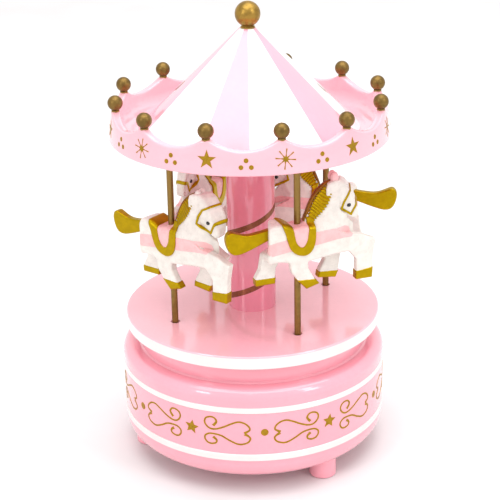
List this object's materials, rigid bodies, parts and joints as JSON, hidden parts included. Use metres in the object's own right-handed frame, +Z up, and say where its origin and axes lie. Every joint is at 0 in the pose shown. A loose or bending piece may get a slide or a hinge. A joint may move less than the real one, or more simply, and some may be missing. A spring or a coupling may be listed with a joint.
{
  "type": "carousel music box",
  "caption": "Wind-up carousel music box: round drum with the movement inside, turning platform, column and scalloped canopy, with horses on rising poles.",
  "frame": {"origin": "on the turning axis, at the level of the surface that the feet stand on", "axes": "+Z up along the turning axis, -Y towards the front"},
  "size_m": [0.11, 0.1079, 0.18],
  "materials": {
    "pink_plastic": "glossy moulded plastic with faint moulding waviness",
    "white_plastic": "glossy white plastic trim",
    "roof_paint": "glossy plastic painted in white and pale pink wedges",
    "antique_brass": "dull antique brass, darker in its hollows",
    "gold_finish": "gold-coloured finish, slightly dull",
    "movement_brass": "machined brass",
    "movement_steel": "brushed steel",
    "dark_steel": "dark blued steel",
    "horse_paint": "moulded plastic, painted white, pink and mustard gold by hand",
    "gold_print": "gold foil print",
    "spiral_paint": "dull gold-brown painted stripe"
  },
  "bodies": {
    "base": {"feet": "pink_plastic", "bottom_cover": "pink_plastic", "cover_screws": "movement_steel", "base_shell": "pink_plastic", "lower_band": "white_plastic", "upper_band": "white_plastic", "cam_ring": "white_plastic", "deck_bush": "movement_brass", "bedplate": "movement_steel", "movement_screws": "movement_steel", "spring_housing": "movement_brass", "mainspring": "dark_steel", "inner_cheek": "movement_brass", "outer_cheek": "movement_brass", "comb_block": "dark_steel", "comb": "movement_steel", "comb_screws": "movement_brass"},
    "cylinder": {"cylinder_arbor": "movement_steel", "music_cylinder": "movement_brass"},
    "governor": {"governor_wheel": "movement_brass"},
    "fan": {"fan_spindle": "movement_steel", "fan_vane": "dark_steel"},
    "carousel": {"winding_arbor": "movement_steel", "great_wheel": "movement_brass", "platform": "pink_plastic", "platform_edge": "white_plastic", "column": "pink_plastic", "tie_rod": "movement_steel", "tie_nut": "movement_steel", "canopy_ceiling": "pink_plastic", "canopy_rim": "pink_plastic", "rim_balls": "antique_brass", "roof_cone": "roof_paint", "finial": "gold_finish"},
    "rider_1": {"pole_1": "antique_brass", "horse_1": "horse_paint"},
    "rider_2": {"pole_2": "antique_brass", "horse_2": "horse_paint"},
    "rider_3": {"pole_3": "antique_brass", "horse_3": "horse_paint"},
    "rider_4": {"pole_4": "antique_brass", "horse_4": "horse_paint"}
  },
  "joints": [
    {"name": "carousel_turn", "type": "hinge", "parent": "base", "child": "carousel", "pos_m": [0, 0, 0], "axis": [0, 0, 1], "continuous": true},
    {"name": "cylinder_turn", "type": "hinge", "parent": "base", "child": "cylinder", "pos_m": [0.03, 0, 0.025], "axis": [1, 0, 0], "continuous": true},
    {"name": "governor_turn", "type": "hinge", "parent": "base", "child": "governor", "pos_m": [0.03, 0.014, 0.025], "axis": [1, 0, 0], "continuous": true},
    {"name": "fan_turn", "type": "hinge", "parent": "base", "child": "fan", "pos_m": [0.03, 0.014, 0.017], "axis": [1, 0, 0], "continuous": true},
    {"name": "horse_1_lift", "type": "slide", "parent": "carousel", "child": "rider_1", "axis": [0, 0, 1], "range_m": [-0.0002, 0.0022]},
    {"name": "horse_2_lift", "type": "slide", "parent": "carousel", "child": "rider_2", "axis": [0, 0, 1], "range_m": [-0.0022, 0.0002]},
    {"name": "horse_3_lift", "type": "slide", "parent": "carousel", "child": "rider_3", "axis": [0, 0, 1], "range_m": [-0.0003, 0.0021]},
    {"name": "horse_4_lift", "type": "slide", "parent": "carousel", "child": "rider_4", "axis": [0, 0, 1], "range_m": [-0.002, 0.0004]}
  ],
  "couplings": [
    {"joint": "cylinder_turn", "follows": "carousel_turn", "ratio": 4},
    {"joint": "governor_turn", "follows": "carousel_turn", "ratio": -24},
    {"joint": "fan_turn", "follows": "carousel_turn", "ratio": 72}
  ]
}
